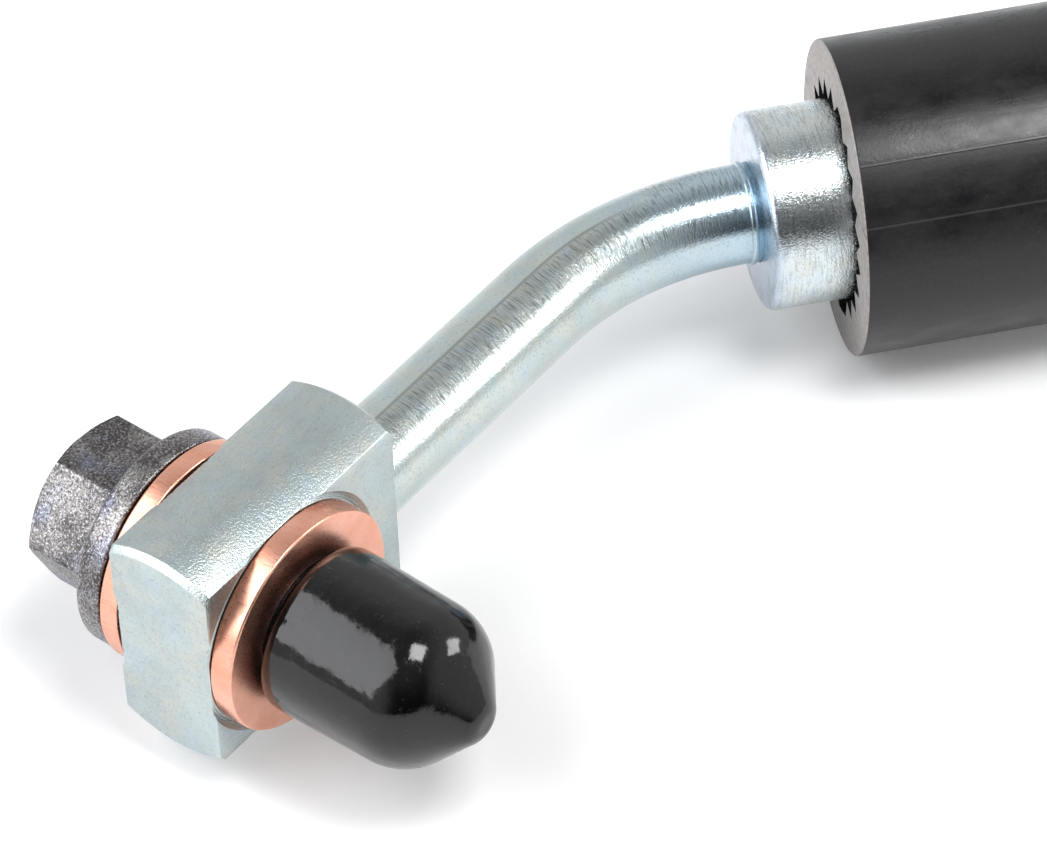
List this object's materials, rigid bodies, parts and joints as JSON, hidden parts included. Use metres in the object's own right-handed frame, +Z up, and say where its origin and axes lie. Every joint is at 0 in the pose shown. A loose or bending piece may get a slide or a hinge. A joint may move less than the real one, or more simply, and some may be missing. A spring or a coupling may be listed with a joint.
{
  "type": "brake hose",
  "caption": "Hydraulic brake hose: a bolted banjo block, a bent steel tube, a crimp ferrule in a rubber sleeve, and a female hex end fitting on the far end.",
  "frame": {"origin": "on the surface the hose lies on, under the middle of the banjo end, the bent tube and the sleeve together; the free hose and its far fitting aren't counted", "axes": "+X along the crimp ferrule from the tube to the hose, +Z up from the surface, +Y towards the hose's far end"},
  "size_m": [0.2177, 0.1583, 0.0254],
  "materials": {
    "zinc_steel": "pale grey zinc plate, satin, finely speckled",
    "phosphate_steel": "dark grey phosphate, finely speckled",
    "copper": "bright soft copper with faint turning lines",
    "black_vinyl": "glossy dipped vinyl",
    "sleeve_rubber": "satin extruded rubber",
    "hose_rubber": "matt moulded rubber",
    "braid_textile": "woven textile cord",
    "plug_plastic": "matt moulded plastic"
  },
  "bodies": {
    "root": {"banjo_block": "zinc_steel", "banjo_bolt": "phosphate_steel", "washer_thread_side": "copper", "washer_head_side": "copper", "thread_cap": "black_vinyl", "bent_tube": "zinc_steel", "crimp_ferrule": "zinc_steel", "hose_insert": "zinc_steel", "rubber_sleeve": "sleeve_rubber", "hose_liner": "hose_rubber", "hose_braid": "braid_textile", "hose_cover": "hose_rubber", "far_ferrule": "zinc_steel", "end_fitting": "zinc_steel", "port_plug": "plug_plastic"}
  },
  "joints": []
}
